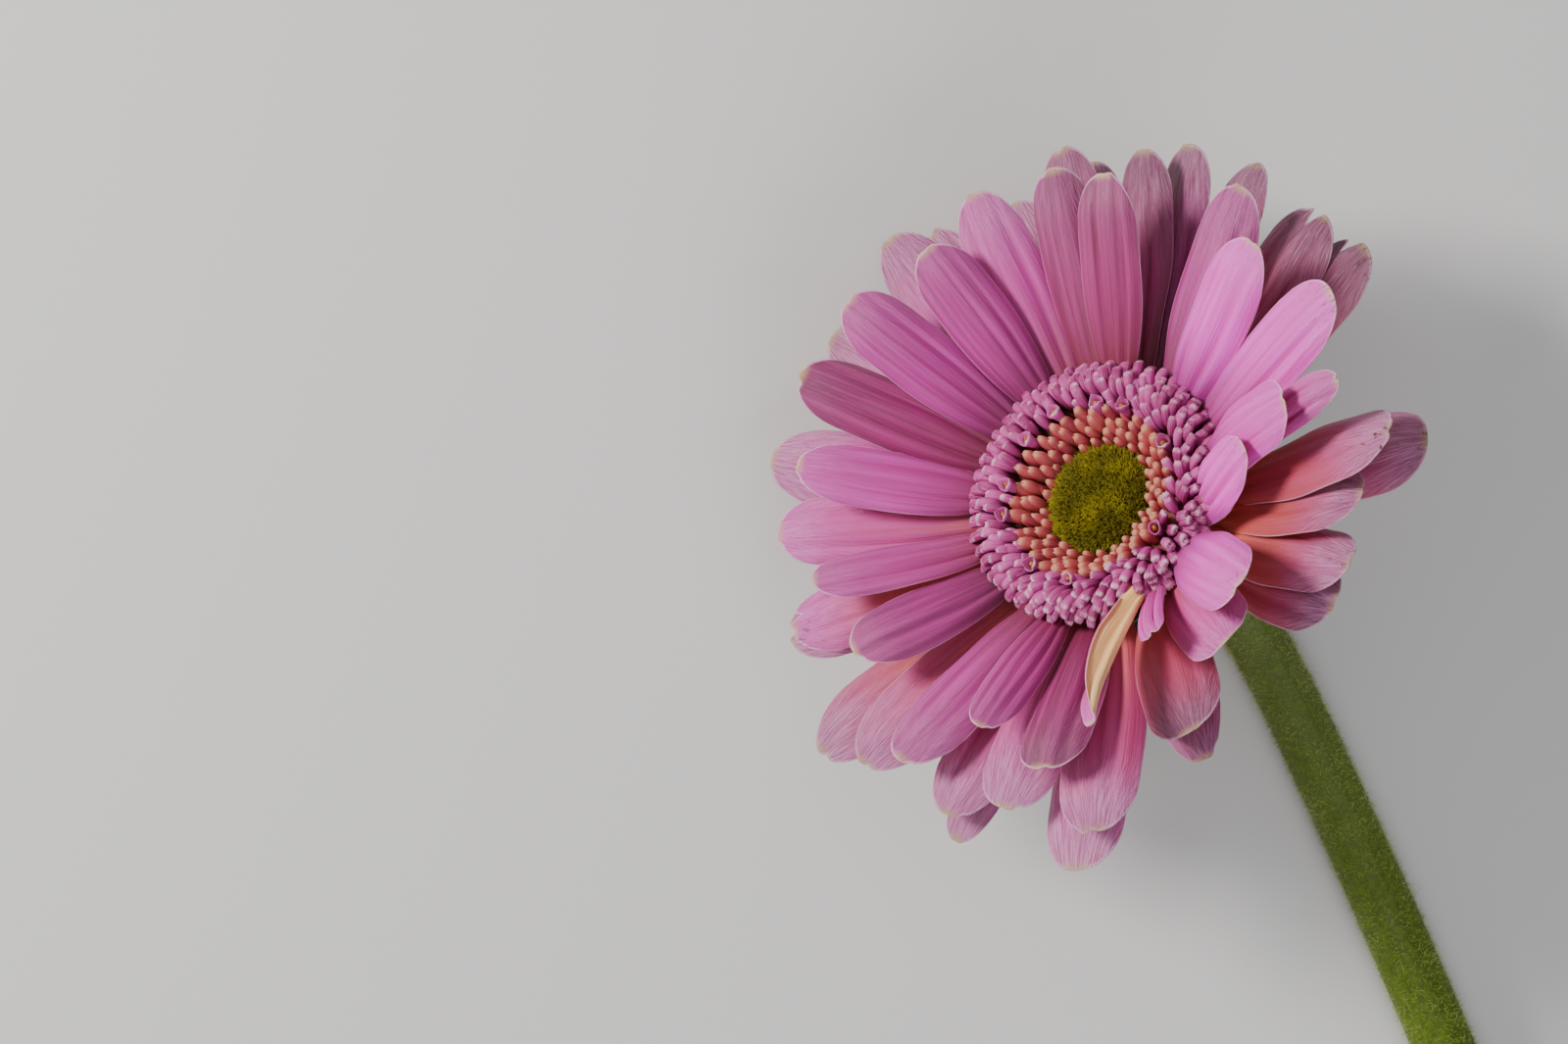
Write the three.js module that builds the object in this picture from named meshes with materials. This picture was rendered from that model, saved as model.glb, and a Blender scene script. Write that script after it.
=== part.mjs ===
// A cut gerbera, lying on a table with its face up. Millimetres, +Z up.
//
// The flower head is a composite: ray florets (the long petals) in four rows round a disc of small florets, all on
// one green receptacle that two rows of bracts wrap from below. The hollow-looking neck of the stem bends under the
// head, comes down to the table and runs along it to the slanted cut.
//
// The head has its own frame: its origin is the centre of the receptacle's top, +Z is the way the face looks, and an
// azimuth is an angle round the face, anticlockwise as seen by somebody who looks at it.

import * as THREE from "three";

const DEG = Math.PI / 180;

// The head
const FACE_TILT = 36; // how far the face leans from straight up, degrees
const FACE_LEAN = 151; // the azimuth of the side that leans down to the table, degrees
const PETAL_THICKNESS = 0.5;
const PETAL_CLAW = 0.2; // width where a petal is attached, as a share of its full width
const PETAL_WIDEST = 0.62; // where along its length a petal is widest
const PETAL_TIP = 0.3; // width of the blunt tip, as a share of the full width
const PETAL_WIDENING = 1.15; // above 1, a petal stays narrow for longer before it widens
const PETAL_ROUNDING = 2.4; // above 2, a petal's tip is blunter than an ellipse
const TWIST_DONE = 1 / 3; // how far along a petal its twist is complete
const RIM_GAP = 0.4; // between the receptacle's wall and what stands round it

// The receptacle, from the neck up: [radius, height] in the head's frame
const RECEPTACLE = [
  [4.1, -16.5],
  [6.2, -15.2],
  [8.8, -12.6],
  [10.6, -9.4],
  [11.8, -6],
  [12.5, -3],
  [12.6, 0],
  [11.8, 0.9],
];
const RECEPTACLE_DISH = 0.4; // height of the middle of its top, which is a little lower than its rim
const RECEPTACLE_SIDES = 28;

// The stem
const STEM_LENGTH_ON_TABLE = 205; // from where the neck comes down to the cut
const STEM_RADIUS_TOP = 3.9;
const STEM_RADIUS_CUT = 4.3;
const STEM_SIDES = 12;
const NECK_GAP = 0.35; // between the receptacle and the top of the stem
const NECK_REACH = 0.45; // how far each end of the neck runs straight on, as a share of the neck's span
const NECK_LANDS = { x: 29, y: -33.5, heading: -65 }; // under the head, from its centre; degrees
const STEM_END_HEADING = -77;
const CUT_SLANT = 38; // of the cut across the stem, degrees
const NECK_STATIONS = [0, 0.14, 0.28, 0.42, 0.56, 0.7, 0.85]; // where the neck and the run have a section
const RUN_STATIONS = [0, 0.09, 0.2, 0.32, 0.45, 0.58, 0.72, 0.86, 1];

// The whole flower is turned about the vertical so that the stem runs along +Y.
const TURN = 160;

// Ray florets, row by row. A row's petals are attached at one radius and one height.
// Each petal: azimuth, length, rise from the head's plane at the base, bend on the way to the tip (minus is back),
// full width, and twist about its own line, anticlockwise as seen from the tip.
const ROWS = [
  {
    name: "front_petal",
    radius: 13.1,
    height: 1.3,
    petals: [
      [10, 26, 44, -16, 8.4, 8],
      [28, 33.5, 27, -6, 9.0, 4],
      [48, 29, 30, -8, 8.6, 6],
      [85, 31, 30, -8, 8.6, -4],
      [124, 30, 31, -6, 8.6, 6],
      [141, 33, 29, -6, 8.8, 8],
      [157, 33.5, 28, -6, 8.6, 6],
      [173, 30, 29, -6, 7.6, 4],
      [196, 28, 28, -8, 6.6, 14],
      [214, 26, 27, -6, 8.6, 0],
      [252, 23.5, 30, -6, 6.2, -14],
      [286, 27, 36, 0, 7.0, 66],
      [303, 19, 42, 0, 4.2, 62],
      [328, 26, 56, -40, 9.4, 0],
      [354, 18, 52, -24, 7.2, 8],
    ],
  },
  {
    name: "second_petal",
    radius: 13.2,
    height: -0.1,
    petals: [
      [11, 33, 33, -6, 5.6, 8],
      [59, 33, 23, -6, 8.6, 6],
      [97, 33, 25, -6, 8.6, 8],
      [113, 34, 23, -6, 8.8, 8],
      [183, 33.5, 19, -6, 8.8, 0],
      [200, 33.5, 14, -4, 9.2, 0],
      [237, 31, 22, -6, 9.0, 0],
      [267, 27, 25, -6, 9.2, 0],
      [316, 22, 38, -24, 9.6, 0],
    ],
  },
  {
    name: "third_petal",
    radius: 13.3,
    height: -1.5,
    petals: [
      [3.5, 35.5, 28, -13, 9.8, -18],
      [48, 34.5, 12, -8, 10.6, 0],
      [82, 35, 13, -6, 9.2, -10],
      [96, 37, 13, -6, 9.0, -10],
      [131, 38.5, 15, -6, 9.8, 0],
      [169, 38, 13, -6, 10.0, 0],
      [230, 34, 13, -6, 9.6, -8],
      [245.5, 33, 13, -6, 8.8, -12],
      [259, 30.5, 17, -6, 9.2, -12],
      [276.5, 33, 15, -8, 10.4, -10],
      [299, 26, 26, -16, 10.4, 0],
      [340.5, 28, 18, -10, 9.4, -16],
      [352.5, 28.5, 21.5, -10, 9.2, -18],
    ],
  },
  {
    name: "back_petal",
    radius: 13.4,
    height: -2.9,
    petals: [
      [3, 34.5, 14, -10, 10.4, 0],
      [37, 35, 12, -10, 9.8, 0],
      [64, 36, 6.5, -7, 9.0, -14],
      [76.5, 36.5, 10, -7, 9.2, -18],
      [95, 35.5, 6, -6, 9.0, 0],
      [113, 35, 6, -6, 9.0, -8],
      [127, 38.5, 6.5, -6, 9.0, -10],
      [148, 39, 8, -4, 10.4, 0],
      [200.5, 35.5, 7, -4, 10.0, 0],
      [218, 38, 9, -4, 10.0, 0],
      [249.5, 35, 5, -4, 7.0, 0],
      [269.5, 36, 9, -8, 10.8, 0],
      [299.5, 26.5, 14, -8, 8.8, 0],
      [333, 27, 18, -10, 10.4, 0],
    ],
  },
];
const PETAL_STATIONS = [0, 0.14, 0.32, 0.52, 0.72, 0.88, 1];
const PETAL_ACROSS = [-1, -0.5, 0, 0.5, 1];
const PETAL_CROWN = 0.2; // how far the edges fall below the middle, as a share of the half width

// Bracts: two rows of pointed green scales, each row one toothed cup. Heights and radii in the head's frame.
const BRACT_ROWS = [
  { name: "inner_bracts", teeth: 21, foot: -11.4, off: 0, tip: [19, -5.6], bend: [14.6, -7.6], turn: 0 },
  { name: "outer_bracts", teeth: 17, foot: -15.0, off: 1.25, tip: [17.2, -9.0], bend: [13.4, -10.9], turn: 0.5 },
];
const BRACT_THICKNESS = 0.7;
const BRACT_STATIONS = [0, 0.5, 1]; // from its foot to its point
const BRACT_VALLEY = 0.42; // how far up a bract its neighbours are joined to it

// The disc, from the outside in: [radius, height] round each ring's section
const OUTER_FLORETS = [
  [11.2, 1.4],
  [12.3, 1.8],
  [16.9, 6.6],
  [17.2, 7.2],
  [15.4, 7.9],
  [13.4, 7.7],
  [12.2, 7.0],
];
const INNER_FLORETS = [
  [7.9, 1.0],
  [10.8, 1.3],
  [11.7, 6.6],
  [10.2, 5.9],
  [8.4, 4.2],
];
const DISC_CENTRE = [
  [7.5, 0.8],
  [7.6, 2.2],
  [6.4, 3.1],
  [4.6, 3.7],
  [2.4, 3.9],
];
const DISC_SIDES = 28;

const colours = {
  petal: new THREE.MeshStandardMaterial({ color: 0xc964a6, roughness: 0.6, metalness: 0 }),
  stem: new THREE.MeshStandardMaterial({ color: 0x6f8f3c, roughness: 0.75, metalness: 0 }),
  bract: new THREE.MeshStandardMaterial({ color: 0x5d8038, roughness: 0.75, metalness: 0 }),
  floret: new THREE.MeshStandardMaterial({ color: 0xc97fb6, roughness: 0.6, metalness: 0 }),
  bud: new THREE.MeshStandardMaterial({ color: 0xd08368, roughness: 0.6, metalness: 0 }),
  centre: new THREE.MeshStandardMaterial({ color: 0x98941f, roughness: 0.9, metalness: 0 }),
};

function named(name, geometry, material) {
  const mesh = new THREE.Mesh(geometry, material);
  mesh.name = name;
  return mesh;
}

// A closed skin over rings of points. Rings run from one end to the other, each anticlockwise as seen from the far
// end. outline is the ring's shape in the plane, which says how an end is filled; without it the last ring is joined
// back to the first.
function loft(rings, outline) {
  const size = rings[0].length;
  const positions = rings.flat().flatMap((p) => [p.x, p.y, p.z]);
  const index = [];
  const steps = outline ? rings.length - 1 : rings.length;
  for (let i = 0; i < steps; i++) {
    const here = i * size;
    const next = ((i + 1) % rings.length) * size;
    for (let j = 0; j < size; j++) {
      const k = (j + 1) % size;
      index.push(here + j, here + k, next + k, here + j, next + k, next + j);
    }
  }
  if (outline) {
    const last = (rings.length - 1) * size;
    for (const [a, b, c] of THREE.ShapeUtils.triangulateShape(outline, [])) {
      index.push(a, c, b, last + a, last + b, last + c);
    }
  }
  const geometry = new THREE.BufferGeometry();
  geometry.setAttribute("position", new THREE.Float32BufferAttribute(positions, 3));
  geometry.setIndex(index);
  return geometry;
}

// Half the width of a petal at u, from 0 at its base to 1 at its tip, as a share of the greatest.
function petalOutline(u) {
  if (u < PETAL_WIDEST) {
    return PETAL_CLAW + (1 - PETAL_CLAW) * Math.sin((Math.PI / 2) * (u / PETAL_WIDEST)) ** PETAL_WIDENING;
  }
  const past = (u - PETAL_WIDEST) / (1 - PETAL_WIDEST);
  return PETAL_TIP + (1 - PETAL_TIP) * Math.sqrt(1 - past ** PETAL_ROUNDING);
}

function petalGeometry(row, [azimuth, length, rise, bend, width, twist]) {
  const start = rise * DEG;
  const turn = (bend || 0.01) * DEG;
  const outward = new THREE.Vector3(Math.cos(azimuth * DEG), Math.sin(azimuth * DEG), 0);
  const sideways = new THREE.Vector3(-Math.sin(azimuth * DEG), Math.cos(azimuth * DEG), 0);
  const up = new THREE.Vector3(0, 0, 1);
  const rings = PETAL_STATIONS.map((u) => {
    const slope = start + turn * u;
    const reach = row.radius + (length * (Math.sin(slope) - Math.sin(start))) / turn;
    const height = row.height + (length * (Math.cos(start) - Math.cos(slope))) / turn;
    const centre = outward.clone().multiplyScalar(reach).addScaledVector(up, height);
    const along = outward.clone().multiplyScalar(Math.cos(slope)).addScaledVector(up, Math.sin(slope));
    const face = up.clone().multiplyScalar(Math.cos(slope)).addScaledVector(outward, -Math.sin(slope));
    const rolled = twist * DEG * Math.min(1, u / TWIST_DONE);
    const across = sideways.clone().applyAxisAngle(along, rolled);
    face.applyAxisAngle(along, rolled);
    const half = (width / 2) * petalOutline(u);
    const point = (v, side) =>
      centre
        .clone()
        .addScaledVector(across, half * v)
        .addScaledVector(face, -PETAL_CROWN * half * v * v + (side * PETAL_THICKNESS) / 2);
    const under = PETAL_ACROSS.map((v) => point(v, -1));
    const over = PETAL_ACROSS.map((v) => point(v, 1));
    return [...under, ...over.reverse()];
  });
  const outline = [
    ...PETAL_ACROSS.map((v) => new THREE.Vector2(v, -1)),
    ...[...PETAL_ACROSS].reverse().map((v) => new THREE.Vector2(v, 1)),
  ];
  return loft(rings, outline);
}

function rayFlorets() {
  return ROWS.flatMap((row) =>
    row.petals.map((petal, i) =>
      named(`${row.name}_${String(i + 1).padStart(2, "0")}`, petalGeometry(row, petal), colours.petal),
    ),
  );
}

// The receptacle's radius at a height, between the points of its outline.
function receptacleRadius(height) {
  for (let i = 1; i < RECEPTACLE.length; i++) {
    const [r0, z0] = RECEPTACLE[i - 1];
    const [r1, z1] = RECEPTACLE[i];
    if (height <= z1) return r0 + ((r1 - r0) * (height - z0)) / (z1 - z0);
  }
  return RECEPTACLE.at(-1)[0];
}

function receptacle() {
  const bottom = RECEPTACLE[0][1];
  const outline = [
    new THREE.Vector2(0, bottom),
    ...RECEPTACLE.map(([r, z]) => new THREE.Vector2(r, z)),
    new THREE.Vector2(0, RECEPTACLE_DISH),
  ];
  return named("receptacle", turned(outline, RECEPTACLE_SIDES), colours.bract);
}

// A lathe's outline runs up its axis, Y, so it is laid over to Z.
function turned(outline, sides) {
  return new THREE.LatheGeometry(outline, sides).rotateX(Math.PI / 2);
}

function ring(name, section, material) {
  const points = section.map(([r, z]) => new THREE.Vector2(r, z));
  return named(name, turned([...points, points[0].clone()], DISC_SIDES), material);
}

function discCentre() {
  const points = DISC_CENTRE.map(([r, z]) => new THREE.Vector2(r, z));
  const bottom = new THREE.Vector2(0, DISC_CENTRE[0][1]);
  const top = new THREE.Vector2(0, DISC_CENTRE.at(-1)[1]);
  return named("disc_centre", turned([bottom, ...points, top], DISC_SIDES), colours.centre);
}

// One row of bracts: a cup whose wall rises to a point at each tooth and stays low between them.
function bractRow({ name, teeth, foot, off, tip, bend, turn }) {
  const footRadius = receptacleRadius(foot) + RIM_GAP;
  const waist = [receptacleRadius((foot + bend[1]) / 2) + RIM_GAP + off, (foot + bend[1]) / 2];
  const line = new THREE.CatmullRomCurve3(
    [[footRadius, foot], waist, bend, tip].map(([r, z]) => new THREE.Vector3(r, 0, z)),
  );
  const rings = [];
  for (let i = 0; i < teeth * 2; i++) {
    const angle = ((i / 2 + turn) / teeth) * 2 * Math.PI;
    const top = i % 2 ? BRACT_VALLEY : 1;
    const wall = BRACT_STATIONS.map((s) => {
      const p = line.getPoint(s * top);
      const t = line.getTangent(s * top);
      return { inside: [p.x, p.z], outside: [p.x + t.z * BRACT_THICKNESS, p.z - t.x * BRACT_THICKNESS] };
    });
    const section = [...wall.map((w) => w.inside), ...wall.map((w) => w.outside).reverse()];
    rings.push(section.map(([r, z]) => new THREE.Vector3(r * Math.cos(angle), r * Math.sin(angle), z)));
  }
  return named(name, loft(rings), colours.bract);
}

function flowerHead() {
  const head = new THREE.Group();
  head.add(
    receptacle(),
    ...BRACT_ROWS.map(bractRow),
    ring("outer_disc_florets", OUTER_FLORETS, colours.floret),
    ring("inner_disc_florets", INNER_FLORETS, colours.bud),
    discCentre(),
    ...rayFlorets(),
  );
  const lean = FACE_LEAN * DEG;
  const hinge = new THREE.Vector3(-Math.sin(lean), Math.cos(lean), 0);
  head.quaternion.setFromAxisAngle(hinge, FACE_TILT * DEG);
  // The lowest petal tips touch the table.
  head.position.z = -new THREE.Box3().setFromObject(head, true).min.z;
  return head;
}

function heading(degrees) {
  return new THREE.Vector3(Math.cos(degrees * DEG), Math.sin(degrees * DEG), 0);
}

// The stem's middle line: out of the back of the head, down to the table, and along it.
function stemLine(head) {
  const back = new THREE.Vector3(0, 0, -1).applyQuaternion(head.quaternion);
  const top = back
    .clone()
    .multiplyScalar(-RECEPTACLE[0][1] + NECK_GAP)
    .add(head.position);
  const landing = new THREE.Vector3(NECK_LANDS.x, NECK_LANDS.y, STEM_RADIUS_TOP);
  const out = heading(NECK_LANDS.heading);
  const last = heading(STEM_END_HEADING);
  const reach = landing.distanceTo(top) * NECK_REACH;
  const third = STEM_LENGTH_ON_TABLE / 3;
  const rest = landing.clone().addScaledVector(out, third);
  const end = rest.clone().addScaledVector(out.clone().add(last).normalize(), third).addScaledVector(last, third);
  end.z = STEM_RADIUS_CUT;
  const path = new THREE.CurvePath();
  path.add(
    new THREE.CubicBezierCurve3(
      top,
      top.clone().addScaledVector(back, reach),
      landing.clone().addScaledVector(out, -reach),
      landing,
    ),
  );
  path.add(new THREE.CubicBezierCurve3(landing, rest, end.clone().addScaledVector(last, -third), end));
  return path;
}

function stem(head) {
  const [neck, run] = stemLine(head).curves;
  const stations = [
    ...NECK_STATIONS.map((t) => [neck, t, 0]),
    ...RUN_STATIONS.map((t) => [run, t, t]),
  ];
  const angles = Array.from({ length: STEM_SIDES }, (_, i) => (i / STEM_SIDES) * 2 * Math.PI);
  let side = new THREE.Vector3(0, 0, 1);
  const rings = stations.map(([curve, t, share], i) => {
    const centre = curve.getPointAt(t);
    const along = curve.getTangentAt(t);
    side = side.clone().addScaledVector(along, -side.dot(along)).normalize();
    const other = along.clone().cross(side);
    const radius = STEM_RADIUS_TOP + (STEM_RADIUS_CUT - STEM_RADIUS_TOP) * share;
    const slant = i === stations.length - 1 ? Math.tan(CUT_SLANT * DEG) : 0;
    return angles.map((a) =>
      centre
        .clone()
        .addScaledVector(side, radius * Math.cos(a))
        .addScaledVector(other, radius * Math.sin(a))
        .addScaledVector(along, slant * radius * Math.sin(a)),
    );
  });
  const outline = angles.map((a) => new THREE.Vector2(Math.cos(a), Math.sin(a)));
  return named("stem", loft(rings, outline), colours.stem);
}

function gerbera() {
  const head = flowerHead();
  const flower = new THREE.Group();
  flower.add(head, stem(head));
  flower.rotation.z = TURN * DEG;
  const box = new THREE.Box3().setFromObject(flower, true);
  flower.position.set(-(box.min.x + box.max.x) / 2, -(box.min.y + box.max.y) / 2, -box.min.z);
  const part = new THREE.Group();
  part.add(flower);
  return part;
}

export default gerbera();
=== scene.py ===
"""A cut gerbera, lying on a table with its face up.

Everything in the head is laid out in the head's own frame: its origin is the centre of the receptacle's top,
+Z is the way the face looks, and an azimuth is an angle round the face, anticlockwise for who looks at it.
Lengths are in millimetres until a piece is finished, when its mesh goes to metres in the flower's frame.
"""

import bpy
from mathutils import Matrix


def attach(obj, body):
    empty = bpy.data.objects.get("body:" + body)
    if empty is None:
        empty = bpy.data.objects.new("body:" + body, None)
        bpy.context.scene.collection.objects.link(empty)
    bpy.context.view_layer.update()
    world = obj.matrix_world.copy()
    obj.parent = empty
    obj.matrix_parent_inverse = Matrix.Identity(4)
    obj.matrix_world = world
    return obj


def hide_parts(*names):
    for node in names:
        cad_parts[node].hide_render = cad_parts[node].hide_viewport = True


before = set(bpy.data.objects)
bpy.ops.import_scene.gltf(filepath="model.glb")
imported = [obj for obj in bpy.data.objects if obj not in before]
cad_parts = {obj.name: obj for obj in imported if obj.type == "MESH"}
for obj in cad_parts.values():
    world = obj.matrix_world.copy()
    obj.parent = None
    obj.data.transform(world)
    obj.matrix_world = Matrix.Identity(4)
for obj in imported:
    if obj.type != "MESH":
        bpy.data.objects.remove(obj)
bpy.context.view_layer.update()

import math
import random

import bpy
import numpy as np
from mathutils import Matrix, Vector

MM = 0.001

# How the head lies, as in the CAD model
FACE_TILT = 36
FACE_LEAN = 151
TURN = 160
RECEPTACLE_TOP = 0.9  # the highest point of the receptacle, in the head's frame

# Ray petals: row by row, the radius and height of their feet, and for each its azimuth, length, rise at the
# foot, bend on the way to the tip (minus is back), width, twist about its own line, coral at the foot (partly
# its own colour, partly a painted glow), browning at the tip, and tone from light pink at 0 to deep magenta at 1
# (partly the petal's own colour, partly painted light on petals that face the lamp and painted shade on petals
# in shadow)
ROWS = {
    "front": ((13.1, 1.3), [
        (10, 26, 44, -16, 8.4, 8, 0.05, 0, 0.3), (28, 33.5, 27, -6, 9.0, 4, 0.05, 0.5, 0.2),
        (48, 29, 30, -8, 8.6, 6, 0, 0.1, 0.1), (85, 31, 30, -8, 8.6, -4, 0.1, 0, 1.0),
        (124, 30, 31, -6, 8.6, 6, 0, 0, 0.8), (141, 33, 29, -6, 8.8, 8, 0, 0, 0.75),
        (157, 33.5, 28, -6, 8.6, 6, 0.05, 0.1, 1.0), (173, 30, 29, -6, 7.6, 4, 0.1, 0, 0.55),
        (196, 28, 28, -8, 6.6, 14, 0.15, 0.1, 0.65), (214, 26, 27, -6, 8.6, 0, 0, 0.1, 0.9),
        (252, 23.5, 30, -6, 6.2, -14, 0.1, 0, 0.8), (286, 31, 36, -2, 8.4, 66, 0.9, 0.1, 0.4),
        (303, 19, 42, 0, 4.2, 62, 0.2, 0.2, 0.3), (328, 26, 56, -40, 9.4, 0, 0, 0.5, 0.3),
        (340, 19.5, 44, -12, 7.6, 8, 0, 0.5, 0.1),
    ]),
    "second": ((13.2, -0.1), [
        (11, 33, 33, -6, 5.6, 8, 0.2, 0.1, 0.5), (59, 33, 23, -6, 8.6, 6, 0.05, 0.1, 0.75),
        (97, 33, 25, -6, 8.6, 8, 0.1, 0, 0.95), (113, 34, 23, -6, 8.8, 8, 0.15, 0, 0.6),
        (183, 33.5, 19, -6, 8.8, 0, 0.45, 0, 0.4), (200, 33.5, 14, -4, 9.2, 0, 1.0, 0.6, 0.3),
        (237, 31, 22, -6, 9.0, 0, 0.1, 0.1, 0.75), (267, 27, 25, -6, 9.2, 0, 0.05, 0.2, 1),
        (316, 22, 38, -24, 9.6, 0, 0.5, 0.3, 0.4),
    ]),
    "third": ((13.3, -1.5), [
        (3.5, 35.5, 28, -13, 9.8, -18, 0.9, 1.0, 0.6), (49.5, 34.5, 13, -8, 10.6, 0, 0.4, 0.6, 0.95),
        (85, 35, 14, -6, 9.2, -10, 0.15, 0, 0.95), (99.5, 37, 14, -6, 9.0, -10, 0.2, 0, 0.85),
        (131, 38.5, 15, -6, 9.8, 0, 0.1, 0, 0.65), (169, 38, 13, -6, 10.0, 0, 0.1, 0, 0.5),
        (227, 34, 13, -6, 9.6, -8, 0.7, 0.3, 0.5), (245.5, 33, 13, -6, 8.8, -12, 0.5, 0.1, 0.5),
        (257.5, 30.5, 17, -6, 9.2, -12, 0.4, 0.2, 0.5), (274.5, 33, 15, -8, 10.4, -10, 0.6, 0.2, 0.5),
        (297.5, 26, 26, -16, 10.4, 0, 0.7, 0.3, 0.9), (342.5, 28, 19, -10, 9.4, -16, 1.0, 0.5, 0.6),
        (355, 28.5, 22, -10, 9.2, -18, 1.0, 0.5, 0.7),
    ]),
    "back": ((13.4, -2.9), [
        (5, 34.5, 15, -10, 10.4, 0, 0.7, 0.6, 0.6), (41, 35, 13, -10, 9.8, 0, 0.5, 0.7, 0.95),
        (68, 36, 8, -7, 9.0, -14, 0.3, 0.2, 0.85), (79.5, 36.5, 11, -7, 9.2, -18, 0.1, 0, 0.85),
        (98, 36, 7, -6, 9.0, 0, 0.1, 0, 0.7), (113, 35, 6, -6, 9.0, -8, 0.1, 0, 0.6),
        (127, 38.5, 6.5, -6, 9.0, -10, 0.1, 0, 0.6), (148, 39, 8, -4, 10.4, 0, 0.1, 0, 0.6),
        (197, 36.5, 7, -4, 10.0, 0, 0.3, 0.1, 0.4), (218, 38, 9, -4, 10.0, 0, 1.0, 0.2, 0.4),
        (245.5, 35, 6, -4, 7.0, 0, 0.4, 0.1, 0.4), (268.5, 36, 9, -8, 10.8, 0, 0.3, 0, 0.3),
        (296, 27, 14, -8, 8.8, 0, 0.6, 0.3, 0.4), (335, 27, 19, -10, 10.4, 0, 0.9, 0.3, 0.6),
    ]),
}
# What a petal or a bract may have, and doesn't unless it says so
ODDITIES = "twist nib nick nick_at split split_at fold fold_line ripple phase sag sway yaw"
PLAIN = {**dict.fromkeys(ODDITIES.split(), 0.0), "unfold": 1.0}
PETAL_SPREAD = 1.17  # a petal's width to its CAD solid's, which has to stay clear of its neighbours
SILVER = {"front": 0.2, "second": 0.4, "third": 0.85, "back": 1.0}  # how silvery the tips are
PETAL_THICKNESS = 0.34
PETAL_ALONG, PETAL_ACROSS = 46, 33  # points each way on a petal's face

# Petals with a shape of their own: split is a tear in the tip, fold how far it turns over past fold_line
ODD_PETALS = {
    "back_02": {"split": 0.07, "split_at": 0.35},
    "back_09": {"split": 0.1, "split_at": -0.1},
    "third_02": {"split": 0.08, "split_at": 0.1},
    "second_06": {"split": 0.05, "split_at": -0.3},
    "front_15": {"yaw": 44, "point": 0.5, "claw": 0.3},
    "back_13": {"point": 0.5, "nib": 0.03, "nick_at": 0.2},
    "front_12": {
        "azimuth": 310, "yaw": -34, "twist": 16, "fold": 162, "fold_line": 0.06, "unfold": 0.9, "point": 0.75,
        "sway": -0.05,
    },
    "front_13": {
        "azimuth": 314, "yaw": -10, "twist": 6, "crown": 0.4, "claw": 0.6, "sway": -0.16, "nick": 0.05,
    },
}

# Disc florets: for each row, how many, the radius and height of their tips, their rise, and their size
OPEN_FLORET_ROWS = [
    (54, 18.7, 5.8, 24, 1.0), (53, 17.8, 6.7, 35, 1.0), (50, 16.8, 7.3, 46, 1.0), (47, 15.7, 7.7, 55, 0.98),
    (43, 14.5, 7.8, 64, 0.95), (38, 13.3, 7.6, 72, 0.92), (32, 12.2, 7.1, 78, 0.88),
]
CUPS = (12.4, 7.6, 78, 0.85)  # radius, height, rise and size
CUP_AZIMUTHS = [28, 68, 88, 116, 140, 171, 190, 232, 262, 331]
BUD_ROWS = [(32, 11.3, 6.5, 78, 1.1), (29, 10.1, 5.8, 82, 1.05), (26, 9.0, 5.0, 86, 0.95)]
BUD_ROWS += [(24, 7.9, 4.2, 90, 0.82)]
DISC_TIGHTER, TIGHTER_FROM, TIGHTER_OVER = 1.2, 8, 10  # florets stand further in towards azimuth 270
DISC_LEAN, DISC_LEAN_TO = 16, 151  # how far all the florets lean together, and to which azimuth
FLORET_LENGTH, BUD_LENGTH, CUP_LENGTH = 4.8, 4.6, 4.4
# Sections from foot to tip: share of the length, half the width, half the depth
FLORET_SECTIONS = [
    (0.0, 0.42, 0.42), (0.3, 0.56, 0.5), (0.5, 0.68, 0.6), (0.66, 0.77, 0.64), (0.79, 0.8, 0.6),
    (0.9, 0.76, 0.46), (0.98, 0.58, 0.26), (0.96, 0.3, 0.1),
]
BUD_SECTIONS = [
    (0.0, 0.5, 0.5), (0.3, 0.72, 0.72), (0.55, 0.84, 0.82), (0.72, 0.86, 0.84), (0.85, 0.77, 0.75),
    (0.94, 0.54, 0.52), (1.0, 0.32, 0.3), (0.92, 0.16, 0.15),
]
# Outlines from the underside up and in, as radius and height
BED = [(7.4, 0.8), (14.4, 0.8), (15.2, 2.0), (14.6, 3.6), (13.2, 4.2), (11.6, 3.8), (10.0, 2.8), (8.6, 2.0)]
BED += [(7.6, 1.4)]
CENTRE = [(7.2, 0.8), (7.2, 2.0), (6.4, 2.9), (4.8, 3.5), (2.6, 3.8), (0.0, 3.8)]

# Under the head
RECEPTACLE = [(0, -16.5), (4.1, -16.5), (6.2, -15.2), (8.8, -12.6), (10.6, -9.4), (11.8, -6), (12.5, -3)]
RECEPTACLE += [(12.6, 0), (11.8, 0.8), (0, 0.8)]

# The stem
STEM_LENGTH_ON_TABLE = 205
STEM_RADIUS_TOP, STEM_RADIUS_CUT = 3.9, 4.3
NECK_GAP, NECK_REACH = 0.35, 0.45
NECK_LANDS, NECK_HEADING = (29, -33.5), -65
STEM_END_HEADING = -77
CUT_SLANT, CUT_FROM, CUT_OVER = 38, 0.985, 0.015  # the slant comes in over the last of the length
CUT_RINGS = [(0.94, 0.35), (0.86, 0.75), (0.5, 1.0), (0.2, 0.8)]  # size, and how bare of skin
CUT_HOLLOW = 0.25
NECK_FLARE, NECK_FLARE_FADES = 0.55, 60
STEM_RIB = 0.05


def smooth(x):
    """0 below 0, 1 above 1, and an easy curve between."""
    x = np.clip(x, 0, 1)
    return x * x * (3 - 2 * x)


def about_z(degrees, size=4):
    return Matrix.Rotation(math.radians(degrees), size, "Z")


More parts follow.
